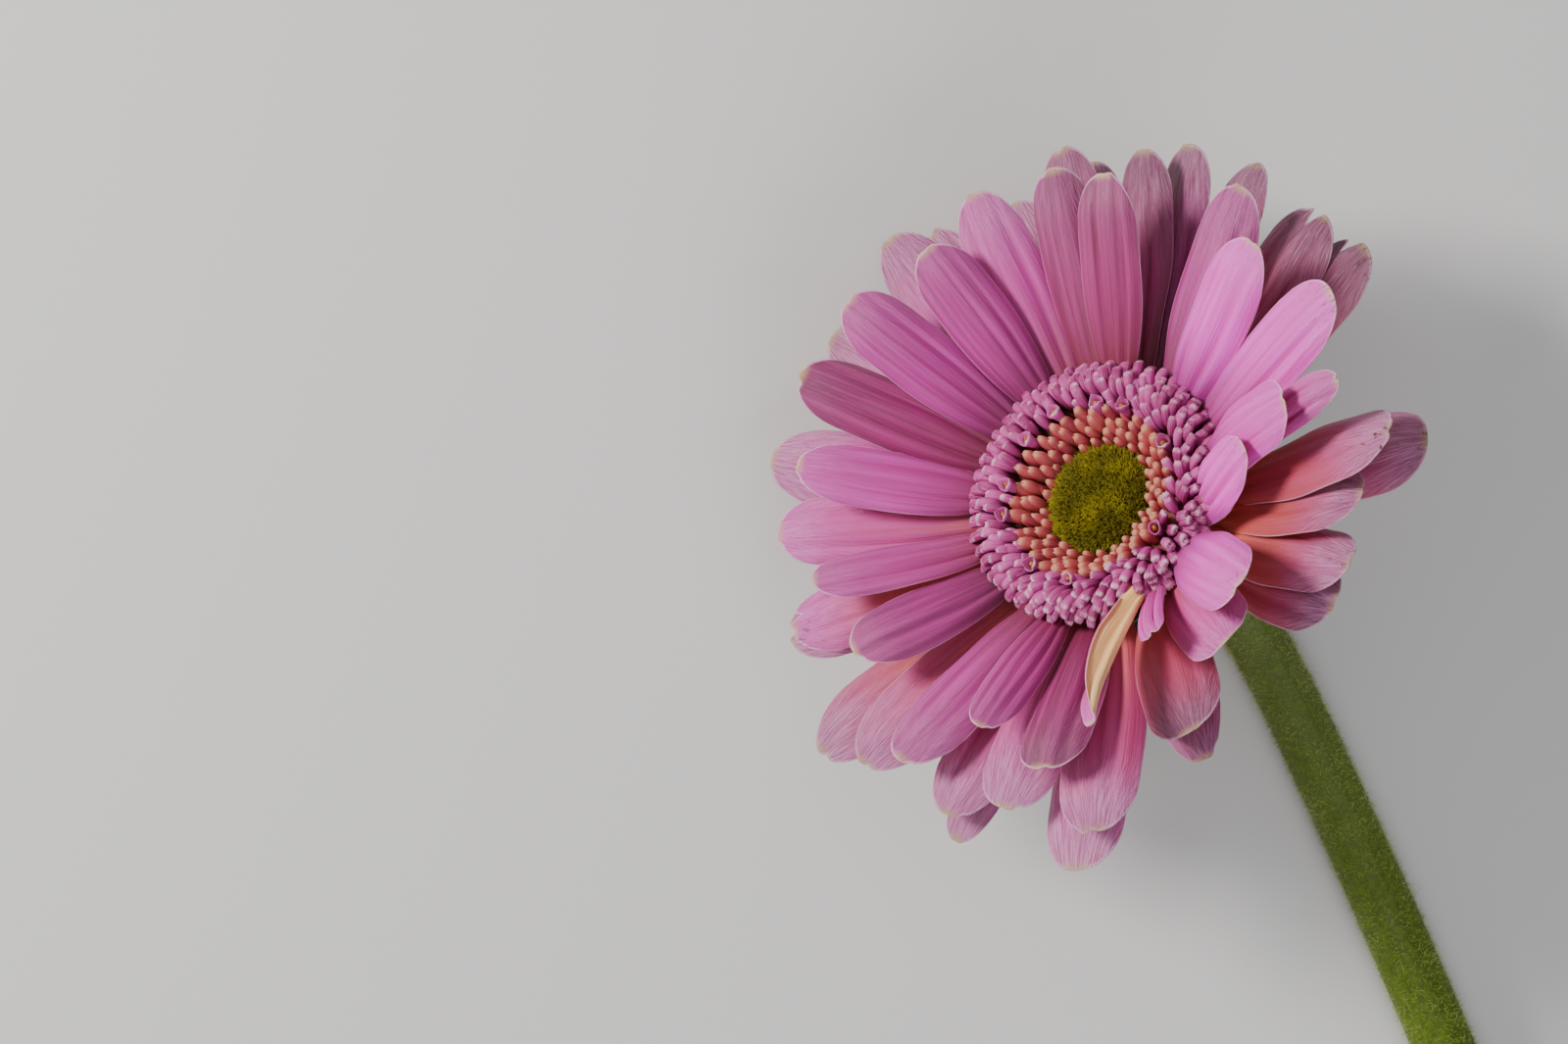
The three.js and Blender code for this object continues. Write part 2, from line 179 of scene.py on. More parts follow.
def head_place():
    """The matrix that carries the head's own frame, in millimetres, to the flower's, in metres."""
    lean = math.radians(FACE_LEAN)
    hinge = Vector((-math.sin(lean), math.cos(lean), 0))
    turned = about_z(TURN, 3) @ Matrix.Rotation(math.radians(FACE_TILT), 3, hinge)
    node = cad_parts["receptacle"]
    points = np.array([turned.inverted() @ (node.matrix_world @ v.co) for v in node.data.vertices])
    low, high = points.min(0), points.max(0)
    centre = turned @ Vector(((low[0] + high[0]) / 2, (low[1] + high[1]) / 2, high[2] - RECEPTACLE_TOP * MM))
    return Matrix.Translation(centre) @ turned.to_4x4() @ Matrix.Scale(MM, 4)


HEAD = head_place()


# ---- Materials ----


class Value:
    """What a node gives, a number most of the time, which can be used in sums."""

    def __init__(self, nodes, socket):
        self.nodes = nodes
        self.socket = socket

    def __add__(self, other):
        return self.nodes.maths("ADD", self, other)

    def __sub__(self, other):
        return self.nodes.maths("SUBTRACT", self, other)

    def __rsub__(self, other):
        return self.nodes.maths("SUBTRACT", other, self)

    def __mul__(self, other):
        return self.nodes.maths("MULTIPLY", self, other)


class Nodes:
    """The making of a tree's nodes."""

    def node(self, kind, settings, values, output=0):
        made = self.tree.nodes.new(kind)
        for key, value in settings.items():
            setattr(made, key, value)
        for key, value in values.items():
            self.set(made.inputs[key], value)
        return Value(self, made.outputs[output])

    def set(self, socket, value):
        if isinstance(value, Value):
            self.tree.links.new(value.socket, socket)
        elif socket.type == "RGBA":
            socket.default_value = (*value, 1)
        else:
            socket.default_value = value

    def maths(self, operation, a, b):
        return self.node("ShaderNodeMath", {"operation": operation}, {0: a, 1: b})

    def vector(self, x, y, z):
        return self.node("ShaderNodeCombineXYZ", {}, {0: x, 1: y, 2: z})


class Finish(Nodes):
    """A material."""

    def __init__(self, name, **constants):
        self.material = bpy.data.materials.new(name)
        self.material.use_nodes = True
        self.tree = self.material.node_tree
        self.shader = self.tree.nodes["Principled BSDF"]
        for key, value in constants.items():
            self.shader.inputs[key.replace("_", " ")].default_value = value

    def attributes(self, *names):
        return [self.node("ShaderNodeAttribute", {"attribute_name": name}, {}, "Fac") for name in names]

    def place(self):
        return self.node("ShaderNodeTexCoord", {}, {}, "Object")

    def noise(self, vector, scale, detail, roughness=0.5):
        values = {"Vector": vector, "Scale": scale, "Detail": detail, "Roughness": roughness}
        return self.node("ShaderNodeTexNoise", {}, values, "Fac")

    def ranged(self, value, low, high, to_low=0.0, to_high=1.0):
        """value taken from low..high to to_low..to_high, eased and held at the ends."""
        values = {"Value": value, "From Min": low, "From Max": high, "To Min": to_low, "To Max": to_high}
        return self.node("ShaderNodeMapRange", {"interpolation_type": "SMOOTHSTEP"}, values)

    def mix(self, share, a, b):
        return self.node("ShaderNodeMix", {"data_type": "RGBA"}, {0: share, 6: a, 7: b}, 2)

    def blend(self, value, low, high, a, b):
        """Colour a where the value is low or less, and colour b where it is high or more."""
        return self.mix(self.ranged(value, low, high), a, b)

    def colour(self, colour):
        self.set(self.shader.inputs["Base Color"], colour)

    def roughness(self, value):
        self.set(self.shader.inputs["Roughness"], value)

    def bump(self, height, depth, strength):
        """Raises the surface by up to depth metres where height is 1."""
        bump = self.node("ShaderNodeBump", {}, {"Height": height, "Distance": depth, "Strength": strength})
        self.set(self.shader.inputs["Normal"], bump)


def petal_finish():
    """Satin pink with veins along it, a thin pale rim, silvery wrinkles at the tip, and coral at the base.
    The tone, the dark foot, the coral, the dull silver and the pale rim are partly painted light and shade.
    """
    depths = (0.002, 0.0006, 0.001)
    sheen = {"Sheen_Weight": 0.04, "Sheen_Roughness": 0.4}
    f = Finish("ray_petal", Subsurface_Weight=0.12, Subsurface_Radius=depths, **sheen)
    along, across, own, tone_and_shading, coral = f.attributes("along", "across", "own", "tone_and_shading", "coral")
    browning, under, rim, silvery, fresh = f.attributes("browning", "under", "rim", "silver", "cream")
    own = own * 40
    veins = f.noise(f.vector(across * 6, along * 1.2, own), 1, 3)
    fibres = f.noise(f.vector(across * 30, along * 3, own), 1, 4, 0.6)
    blotches = f.noise(f.vector(across * 2, along * 4, own), 1, 3)
    # Wrinkles that fan out from the tip
    towards = 1.12 - along
    fan = f.maths("DIVIDE", across * 2.2, towards + 0.12)
    wrinkles = f.noise(f.vector(fan * 5, along * 9, own), 1, 4, 0.65)
    at_tip = f.ranged(along + (blotches - 0.5) * 0.3, 0.5, 0.94) * silvery

    # Light pink and deep magenta, mixed by each petal's tone: partly the petals' own colour, partly painted
    # light on petals that face the lamp and painted shade on petals that lie in shadow
    light = f.blend(veins, 0.25, 0.75, (0.86, 0.046, 0.55), (1.0, 0.11, 0.78))
    deep = f.blend(veins, 0.25, 0.75, (0.16, 0.007, 0.065), (0.4, 0.028, 0.2))
    pink = f.mix(tone_and_shading, light, deep)
    # Painted shade: darker towards the foot, where the disc and the petals around it shade the petal, over its
    # own deeper colour there
    base = f.blend(along, -0.05, 0.62, (0.12, 0.005, 0.028), pink)
    # Silvery wrinkled tips, pale on light petals and dull on deep ones; the dull silver is partly painted shade
    # for petals in shadow
    pale_silver = f.blend(wrinkles, 0.3, 0.75, (0.46, 0.1, 0.28), (0.88, 0.44, 0.68))
    dull_shaded_silver = f.blend(wrinkles, 0.3, 0.75, (0.19, 0.05, 0.115), (0.48, 0.22, 0.33))
    silver = f.blend(tone_and_shading, 0.5, 1.0, pale_silver, dull_shaded_silver)
    tipped = f.mix(at_tip * 0.9, base, silver)
    # Coral at the foot: partly the petal's own colour, partly a painted glow of light through the petal,
    # lightest at the foot where it lies in shade and darker further out as painted shade
    warm = f.mix(tone_and_shading, (0.84, 0.14, 0.12), (0.84, 0.13, 0.07))
    coral_with_glow = f.blend(along + (veins - 0.5) * 0.5, 0.0, 0.5, warm, (0.44, 0.056, 0.068))
    body = f.mix(coral * f.ranged(along + (blotches - 0.5) * 0.3, 1.02, 0.5), tipped, coral_with_glow)
    # The pale rim: partly the petal's own paler edge, partly painted light shining through the thin edge
    edged = f.mix(f.ranged(rim, 0.5, 1.0) * 0.7, body, (0.9, 0.52, 0.72))
    nib = f.ranged(along, 0.955, 0.995) * f.ranged(across * across, 0.16, 0.02)
    nibbed = f.mix(nib * 0.6, edged, (0.62, 0.44, 0.2))
    spots = f.noise(f.vector(across * 9, along * 22, own), 1, 3, 0.7)
    browned = f.mix(browning * f.ranged(spots + along * 0.62, 1.16, 1.24), nibbed, (0.1, 0.055, 0.012))
    cream = f.blend(fibres, 0.3, 0.7, (0.88, 0.46, 0.13), (0.95, 0.66, 0.3))
    dusky = f.blend(fibres, 0.3, 0.7, (0.62, 0.27, 0.26), (0.76, 0.42, 0.4))
    cream = f.mix(fresh, dusky, cream)
    flushed = f.mix(at_tip * 0.5, cream, (0.78, 0.34, 0.46))
    # The pale rim underneath: partly the petal's own paler edge, partly painted light shining through the thin
    # edge
    back = f.mix(f.ranged(rim, 0.4, 1.0) * 0.7, flushed, (0.88, 0.66, 0.52))
    f.colour(f.mix(under, browned, back))
    f.roughness(f.ranged(fibres, 0.2, 0.8, 0.36, 0.54))
    f.bump(fibres * 0.4 + veins * 0.6 + wrinkles * at_tip * 2.4, 0.0003, 0.9)
    return f.material


def floret_finish():
    """Mauve-pink disc florets, dark at the foot, with whitish tips."""
    depths = (0.001, 0.0003, 0.0005)
    f = Finish("open_floret", Subsurface_Weight=0.1, Subsurface_Radius=depths, Specular_IOR_Level=0.3)
    along, shade, across = f.attributes("along", "shade", "across")
    speckle = f.noise(f.place(), 900, 3)
    lines = f.noise(f.vector(across * 6, along * 0.8, shade * 30), 1, 3)
    tongue_colour = f.blend(lines + (shade - 0.5) * 0.4, 0.3, 0.7, (0.29, 0.022, 0.13), (0.54, 0.08, 0.31))
    shaded = f.blend(along, 0.2, 0.6, (0.13, 0.01, 0.03), tongue_colour)
    tip = f.blend(speckle, 0.35, 0.65, (0.56, 0.17, 0.36), (0.88, 0.5, 0.66))
    f.colour(f.blend(along + (speckle - 0.5) * 0.16, 0.85, 1.0, shaded, tip))
    f.roughness(f.ranged(lines, 0.2, 0.8, 0.4, 0.55))
    f.bump(lines, 0.00016, 0.8)
    return f.material


def bud_finish():
    """Coral buds, green-brown at the foot, with peach tips."""
    f = Finish("disc_bud", Subsurface_Weight=0.1, Subsurface_Radius=(0.001, 0.0004, 0.0003))
    along, shade, across = f.attributes("along", "shade", "across")
    speckle = f.noise(f.place(), 1100, 3)
    seams = f.noise(f.vector(across * 7, along * 1.5, shade * 30), 1, 3)
    skin = f.blend(seams + (shade - 0.5) * 0.5, 0.3, 0.7, (0.31, 0.028, 0.048), (0.52, 0.078, 0.088))
    footed = f.blend(along, 0.3, 0.68, (0.14, 0.034, 0.008), skin)
    f.colour(f.mix(f.ranged(along + (speckle - 0.5) * 0.14, 0.84, 1.0) * 0.75, footed, (0.64, 0.29, 0.17)))
    f.roughness(f.ranged(speckle, 0.2, 0.8, 0.36, 0.5))
    f.bump(seams, 0.00014, 0.7)
    return f.material


# For each plain finish: the fineness and detail of its patches, between which values they go from dark to light,
# the two colours, how rough it is, and the depth and strength of its bumps
PATCHY = {
    "anther": (2200, 3, (0.35, 0.65), (0.36, 0.1, 0.006), (0.62, 0.26, 0.015), (0.75, 0.95), 0.00012, 0.8),
    # The bed between the florets is painted dark: painted shade in the gaps where the florets crowd
    "floret_bed": (420, 4, (0.35, 0.65), (0.09, 0.012, 0.012), (0.2, 0.04, 0.03), (0.7, 0.9), 0.0003, 0.8),
    "receptacle_skin": (300, 4, (0.3, 0.7), (0.07, 0.13, 0.02), (0.14, 0.21, 0.05), (0.55, 0.75), 0.0002, 0.6),
}


def patchy_finish(name):
    """The orange pollen, the painted shade of the gaps between the florets, or the green under the bracts."""
    grain, detail, ends, dark, light, matt, depth, strength = PATCHY[name]
    f = Finish(name)
    patches = f.noise(f.place(), grain, detail)
    f.colour(f.blend(patches, *ends, dark, light))
    f.roughness(f.ranged(patches, 0.2, 0.8, *matt))
    f.bump(patches, depth, strength)
    return f.material


def centre_finish():
    """Olive-yellow bristles, with painted shade at their feet and on the dome between them."""
    f = Finish("disc_centre")
    along, shade = f.attributes("along", "shade")
    patches = f.noise(f.place(), 260, 3)
    lit = f.blend(patches + shade * 0.3, 0.4, 0.8, (0.24, 0.2, 0.004), (0.55, 0.47, 0.014))
    # Painted shade: the bristles are dark at their feet and the dome between them is dark, with the upper
    # bristles in the lit colour
    f.colour(f.blend(along, 0.1, 0.8, (0.11, 0.09, 0.002), lit))
    f.roughness(f.ranged(patches, 0.3, 0.7, 0.6, 0.8))
    return f.material


def stem_finish():
    """Green skin with faint lines along it, and pale wet flesh on the cut."""
    f = Finish("stem_skin", Subsurface_Weight=0.05, Specular_IOR_Level=0.3)
    along, across, cut = f.attributes("along", "across", "cut")
    lines = f.noise(f.vector(across * 26, along * 12, 0), 1, 3)
    mottle = f.noise(f.place(), 900, 4, 0.6)
    skin = f.blend(mottle, 0.35, 0.7, (0.07, 0.115, 0.002), (0.12, 0.185, 0.005))
    lined = f.mix(f.ranged(lines, 0.5, 0.8) * 0.4, skin, (0.15, 0.21, 0.05))
    pale = f.mix(f.ranged(along, 0.34, 0.02) * 0.6, lined, (0.15, 0.19, 0.06))
    flesh = f.blend(mottle, 0.3, 0.7, (0.46, 0.55, 0.26), (0.6, 0.66, 0.4))
    f.colour(f.mix(cut, pale, flesh))
    f.roughness(f.ranged(mottle, 0.3, 0.7, 0.45, 0.65))
    f.bump(lines * 0.6 + mottle, 0.00018, 0.7)
    return f.material


def hair_finish():
    """Fine whitish hairs."""
    f = Finish("stem_hair", Roughness=0.6, Specular_IOR_Level=0.3)
    patches = f.noise(f.place(), 200, 2)
    f.colour(f.blend(patches, 0.3, 0.7, (0.32, 0.4, 0.05), (0.58, 0.66, 0.19)))
    return f.material


def bract_finish():
    """Green scales, darker in the middle, with paler edges and reddish points."""
    f = Finish("bract")
    along, across, shade = f.attributes("along", "across", "shade")
    ribs = f.noise(f.vector(across * 12, along * 2.5, shade * 20), 1, 4)
    green = f.blend(ribs, 0.3, 0.7, (0.055, 0.11, 0.014), (0.12, 0.2, 0.035))
    edged = f.mix(f.ranged(across * across, 0.5, 1.0) * 0.7, green, (0.24, 0.32, 0.12))
    f.colour(f.mix(f.ranged(along, 0.82, 1.0) * 0.7, edged, (0.24, 0.09, 0.07)))
    f.roughness(f.ranged(ribs, 0.2, 0.8, 0.5, 0.72))
    f.bump(ribs, 0.0002, 0.7)
    return f.material


def floor_finish():
    """A plain pale table."""
    f = Finish("table", Roughness=0.7)
    patches = f.noise(f.place(), 3, 2)
    f.colour(f.mix(patches, (0.66, 0.65, 0.64), (0.7, 0.69, 0.68)))
    return f.material


# ---- Making pieces ----


def set_numbers(mesh, key, values, kind="FLOAT"):
    """Gives each point of a mesh a number, or three, for the materials and the trees to read."""
    numbers = mesh.attributes.get(key) or mesh.attributes.new(key, kind, "POINT")
    numbers.data.foreach_set("value" if kind == "FLOAT" else "vector", np.asarray(values, float).ravel())


def numbers_of(mesh, key):
    values = np.zeros(len(mesh.vertices))
    mesh.attributes[key].data.foreach_get("value", values)
    return values


def mesh_of(name, points, faces, attributes):
    """A smooth mesh with numbers on its points."""
    mesh = bpy.data.meshes.new(name)
    mesh.from_pydata([tuple(p) for p in points], [], faces)
    for key, values in attributes.items():
        set_numbers(mesh, key, values)
    mesh.shade_smooth()
    return mesh


def linked(name, data):
    """A new object in the scene."""
    thing = bpy.data.objects.new(name, data)
    bpy.context.collection.objects.link(thing)
    return thing


def piece(name, mesh, replaces=(), place=HEAD):
    """Puts a finished mesh in the scene as one of the flower's pieces."""
    mesh.transform(place)
    thing = linked(name, mesh)
    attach(thing, "root")
    if replaces:
        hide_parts(*replaces)


def tube_faces(rings, sides):
    """The faces of a tube from its points, which go round it ring by ring."""
    faces = []
    for first in range(0, (rings - 1) * sides, sides):
        for k in range(sides):
            here, after = first + k, first + (k + 1) % sides
            faces.append((here, after, after + sides, here + sides))
    return faces


def tube_ends(rings, sides):
    return [tuple(range(sides))[::-1], tuple(range((rings - 1) * sides, rings * sides))]


def hump(x, at, width):
    """1 at a place, and next to nothing more than twice the width from it."""
    return np.exp(-(((x - at) / width) ** 2))


def two_sided(top, bottom):
    """Points and faces of a closed thin sheet from the grids of its upper and its lower face."""
    along, across = top.shape[:2]
    points = np.concatenate([top.reshape(-1, 3), bottom.reshape(-1, 3)])
    under = along * across
    grid = np.arange(under).reshape(along, across)
    quads = np.stack([grid[:-1, :-1], grid[1:, :-1], grid[1:, 1:], grid[:-1, 1:]], axis=-1)
    faces = []
    for quad in quads.reshape(-1, 4).tolist():
        faces += [quad, [under + k for k in reversed(quad)]]
    border = np.concatenate([grid[0], grid[1:, -1], grid[-1, -2::-1], grid[-2:0:-1, 0]]).tolist()
    for here, after in zip(border, border[1:] + border[:1]):
        faces.append((here, after, under + after, under + here))
    return points, faces


# What petals and bracts have in common: shares of the length are from the foot, and across from the middle
CROWD_TO_TIP = 1.25  # how the mesh gets finer towards the tip
EVEN_ACROSS = 0.55  # how even the mesh is across, where the rest of it gets finer towards the edges
TIP_SQUARENESS = 2.2
NIB_WIDTH, NICK_WIDTH, NICK_ASIDE = 0.11, 0.1, 0.2
WIDENING = 1.15
TAPER_FROM, TAPER_OVER = 0.6, 0.4
CURL_FROM, CURL_OVER, CURL_RISE = 0.68, 0.32, 1.5
FOLD_STARTS, FOLD_ENDS, FOLD_ROUNDING = 0.3, 0.2, 0.35
GROOVE_WIDTH = 0.13
RIPPLES, RIPPLE_SLANT, SAGS, SWAYS = 2.2, 0.2, 1.3, 0.75
LINE_STEPS = 200
TWIST_RATE = 3  # the twist is all there a third of the way along
THIN_EDGE, FROM_SIDE, FROM_TIP = 0.35, 3, 6
RIM_AT_SIDE, RIM_AT_TIP = 13, 32


def tongue(length, width, thickness, rise, bend, look, along=PETAL_ALONG, across=PETAL_ACROSS):
    """The two faces of a petal that grows from the origin along +X with its face up, and its attributes."""
    u = 1 - (1 - np.linspace(0, 1, along)) ** CROWD_TO_TIP
    w = np.linspace(-1, 1, across)
    v = EVEN_ACROSS * w + (1 - EVEN_ACROSS) * np.sin(np.pi / 2 * w)
    U, V = np.meshgrid(u, v, indexing="ij")
    reach = 1 - look["point"] * (1 - np.sqrt(1 - np.abs(V) ** TIP_SQUARENESS))
    reach += look["nib"] * hump(V, look["nick_at"], NIB_WIDTH)
    reach -= look["nick"] * hump(V - look["nick_at"], NICK_ASIDE, NICK_WIDTH)
    reach -= look["split"] * hump(V, look["split_at"], NICK_WIDTH)
    S = U * reach
    widening = np.sin(np.pi / 2 * np.clip(S / look["widest"], 0, 1)) ** WIDENING
    widening = look["claw"] + (1 - look["claw"]) * widening
    half = width / 2 * widening * (1 - look["taper"] * np.clip((S - TAPER_FROM) / TAPER_OVER, 0, 1) ** 2)

    # The middle line, in the XZ plane, which ends where it would without the curl of its tip
    fine = np.linspace(0, 1, LINE_STEPS + 1)
    uncurled = np.radians(rise + bend * fine)
    curled = smooth((fine - CURL_FROM) / CURL_OVER) ** CURL_RISE
    slope = np.radians(rise + bend * fine - look["curl"] * curled)
    middle_line = []
    for part in (np.cos, np.sin):
        steps = (part(slope[1:]) + part(slope[:-1])) / 2 * (length / LINE_STEPS)
        line = np.concatenate([[0], np.cumsum(steps)])
        middle_line.append(line + (part(uncurled).mean() * length - line[-1]) * fine)
    X, Z, A = (np.interp(S, fine, values) for values in (*middle_line, slope))

    # The section across it: the way it heads, point by point, from the middle out
    lively = np.sin(np.pi * np.clip(S, 0, 1)) ** 0.6
    heading = -2 * look["crown"] * V
    folded = smooth(S / FOLD_STARTS) * (1 - smooth((S - look["unfold"]) / FOLD_ENDS))
    heading = heading + np.radians(look["fold"]) * smooth((V - look["fold_line"]) / FOLD_ROUNDING) * folded
    middle = across // 2
    section = []
    for part in (np.cos, np.sin):
        steps = np.cumsum(np.diff(V, axis=1) * part(heading[:, 1:]), axis=1)
        line = np.concatenate([np.zeros((along, 1)), steps], axis=1)
        section.append((line - line[:, middle : middle + 1]) * half)
    sideways, lifted = section
    for place, depth in look["grooves"]:
        lifted = lifted - depth * lively * hump(V, place, GROOVE_WIDTH)
    ripples = np.sin(2 * np.pi * (S * RIPPLES + look["phase"] + RIPPLE_SLANT * V))
    lifted = lifted + look["ripple"] * np.abs(V) ** 3 * ripples * lively
    lifted = lifted + look["sag"] * np.sin(np.pi * (SAGS * S + look["phase"])) * lively
    sideways = sideways + look["sway"] * np.sin(np.pi * SWAYS * S) * length

    roll = np.radians(look["twist"]) * np.clip(S * TWIST_RATE, 0, 1)
    Y = sideways * np.cos(roll) - lifted * np.sin(roll)
    H = sideways * np.sin(roll) + lifted * np.cos(roll)
    surface = np.stack([X - H * np.sin(A), Y, Z + H * np.cos(A)], axis=-1)
    normal = np.cross(np.gradient(surface, axis=0), np.gradient(surface, axis=1))
    normal /= np.maximum(np.linalg.norm(normal, axis=-1, keepdims=True), 1e-9)
    to_side, to_tip = 1 - np.abs(V), 1 - U
    fullness = smooth(np.minimum(to_side * FROM_SIDE, to_tip * FROM_TIP))[..., None]
    thick = thickness * (THIN_EDGE + (1 - THIN_EDGE) * fullness)
    rim = 1 - smooth(np.minimum(to_side * RIM_AT_SIDE, to_tip * RIM_AT_TIP))
    points, faces = two_sided(surface + normal * thick / 2, surface - normal * thick / 2)
    attributes = {"along": [S, S], "across": [V, V], "rim": [rim, rim], "under": [0 * S, 0 * S + 1]}
    return points, faces, attributes


# What varies from petal to petal and between which ends, in the order in which it is drawn
TIPS_VARY = {"point": (0.2, 0.28), "nib": (0.0, 0.016), "nick": (0.0, 0.016), "nick_at": (-0.3, 0.2)}
SHAPES_VARY = {"widest": (0.54, 0.64), "taper": (0.03, 0.1), "curl": (4, 26), "crown": (0.26, 0.42)}
GROOVES_VARY = [((-0.55, -0.3), (0.3, 0.8)), ((0.25, 0.55), (0.3, 0.8)), ((-0.12, 0.12), (0.0, 0.42))]
WAVES_VARY = {"ripple": (0.0, 0.24), "phase": (0, 1), "sag": (0.0, 0.2), "sway": (-0.012, 0.012)}


def petal_look(name, twist, dice):
    """What makes one petal unlike the next."""
    look = {**PLAIN, "twist": twist, "claw": 0.34}
    for key, ends in {**TIPS_VARY, **SHAPES_VARY}.items():
        look[key] = dice.uniform(*ends)
    look["grooves"] = [(dice.uniform(*place), dice.uniform(*depth)) for place, depth in GROOVES_VARY]
    for key, ends in WAVES_VARY.items():
        look[key] = dice.uniform(*ends)
    return {**look, **ODD_PETALS.get(name, {})}


def ray_petals(finish):
    dice = random.Random(11)
    for row, ((radius, height), petals) in ROWS.items():
        for number, petal in enumerate(petals, 1):
            azimuth, length, rise, bend, width, twist, coral, browning, tone_and_shading = petal
            name = f"{row}_{number:02d}"
            look = petal_look(name, twist, dice)
            width *= PETAL_SPREAD
            points, faces, attributes = tongue(length, width, PETAL_THICKNESS, rise, bend, look)
            numbers = {"coral": coral, "browning": browning, "tone_and_shading": tone_and_shading, "own": dice.random()}
            numbers |= {"silver": SILVER[row], "cream": 1.0 if look["fold"] else 0.0}
            for key, value in numbers.items():
                attributes[key] = np.full(len(points), value)
            mesh = mesh_of(name, points, faces, attributes)
            mesh.materials.append(finish)
            foot = Matrix.Translation((radius, 0, height))
            grown = about_z(look.get("azimuth", azimuth)) @ foot @ about_z(look["yaw"])
            piece(f"ray_{name}", mesh, [f"{row}_petal_{number:02d}"], HEAD @ grown)


# ---- Geometry Nodes for what repeats ----


class Tree(Nodes):
    """A Geometry Nodes tree with named inputs, which puts copies of one of them, Template, on points."""

    def __init__(self, name, inputs):
        self.tree = bpy.data.node_groups.new(name, "GeometryNodeTree")
        sockets = self.tree.interface
        sockets.new_socket("Geometry", in_out="OUTPUT", socket_type="NodeSocketGeometry")
        inputs = {"Geometry": "Geometry", **inputs, "Template": "Object", "Finish": "Material"}
        for key, kind in inputs.items():
            sockets.new_socket(key, in_out="INPUT", socket_type="NodeSocket" + kind)
        self.inputs = self.tree.nodes.new("NodeGroupInput").outputs
        self.out = self.tree.nodes.new("NodeGroupOutput")

    def given(self, name):
        return Value(self, self.inputs[name])

    def numbers(self, name, kind="FLOAT_VECTOR"):
        return self.node("GeometryNodeInputNamedAttribute", {"data_type": kind}, {"Name": name})

    def plant(self, points, rotation, scale):
        values = {"Object": self.given("Template"), "As Instance": True}
        template = self.node("GeometryNodeObjectInfo", {}, values, "Geometry")
        values = {"Points": points, "Instance": template, "Rotation": rotation, "Scale": scale}
        copies = self.node("GeometryNodeInstanceOnPoints", {}, values)
        real = self.node("GeometryNodeRealizeInstances", {}, {0: copies})
        values = {"Geometry": real, "Material": self.given("Finish")}
        self.set(self.out.inputs[0], self.node("GeometryNodeSetMaterial", {}, values))

    def grow(self, name, mesh, pattern, finish, values):
        """Runs the tree on a mesh, and gives the result as a plain mesh."""
        template, host = linked(name + "_template", pattern), linked(name, mesh)
        modifier = host.modifiers.new("grow", "NODES")
        modifier.node_group = self.tree
        values = {**values, "Template": template, "Finish": finish}
        for item in self.tree.interface.items_tree:
            if item.in_out == "INPUT" and item.name in values:
                modifier[item.identifier] = values[item.name]
        grown = bpy.data.meshes.new_from_object(host.evaluated_get(bpy.context.evaluated_depsgraph_get()))
        host.modifiers.remove(modifier)
        bpy.data.objects.remove(host)
        bpy.data.objects.remove(template)
        grown.shade_smooth()
        return grown


def planting_tree():
    """One copy on every point, turned and sized by the point's own numbers."""
    tree = Tree("planting", {})
    turn = tree.node("FunctionNodeEulerToRotation", {}, {0: tree.numbers("turn")})
    tree.plant(tree.given("Geometry"), turn, tree.numbers("size"))
    return tree


def pile_tree():
    """Copies strewn over a surface and standing up from it, each with its own lean and length."""
    inputs = {"Per Square Millimetre": "Float", "Seed": "Int", "Lean": "Float", "Shortest": "Float"}
    tree = Tree("pile", {**inputs, "Longest": "Float"})
    density = tree.given("Per Square Millimetre") * tree.numbers("fuzz", "FLOAT")
    values = {"Mesh": tree.given("Geometry"), "Density": density, "Seed": tree.given("Seed")}
    points = tree.node("GeometryNodeDistributePointsOnFaces", {}, values, "Points")
    upright = Value(tree, points.socket.node.outputs["Rotation"])
    lean = tree.given("Lean")
    back = lean * -1.0
    values = {"Min": tree.vector(back, back, -math.pi), "Max": tree.vector(lean, lean, math.pi), "Seed": 3}
    turn = tree.node("FunctionNodeRandomValue", {"data_type": "FLOAT_VECTOR"}, values)
    tipped = tree.node("FunctionNodeEulerToRotation", {}, {0: turn})
    values = {"Rotation": upright, "Rotate By": tipped}
    turned = tree.node("FunctionNodeRotateRotation", {"rotation_space": "LOCAL"}, values)
    values = {2: tree.given("Shortest"), 3: tree.given("Longest")}
    tall = tree.node("FunctionNodeRandomValue", {"data_type": "FLOAT"}, values, 1)
    tree.plant(points, turned, tree.vector(1.0, 1.0, tall))
    return tree


def planted(name, tree, pattern, seats, finish):
    """Copies of a mesh at the seats: each is a place, a turn about X, Y and Z, a size and a shade."""
    places, turns, sizes, shades = zip(*seats)
    points = bpy.data.meshes.new(name + "_seats")
    points.from_pydata(places, [], [])
    set_numbers(points, "turn", turns, "FLOAT_VECTOR")
    set_numbers(points, "size", sizes, "FLOAT_VECTOR")
    set_numbers(points, "shade", shades)
    return tree.grow(name, points, pattern, finish, {})


def piled(name, tree, pattern, surface, finish, per_mm2, lean, shortest, longest, seed):
    """Copies of a mesh strewn over a surface, as many as its fuzz lets through."""
    values = {"Per Square Millimetre": per_mm2, "Seed": seed, "Lean": math.radians(lean)}
    return tree.grow(name, surface, pattern, finish, {**values, "Shortest": shortest, "Longest": longest})


# ---- The disc ----


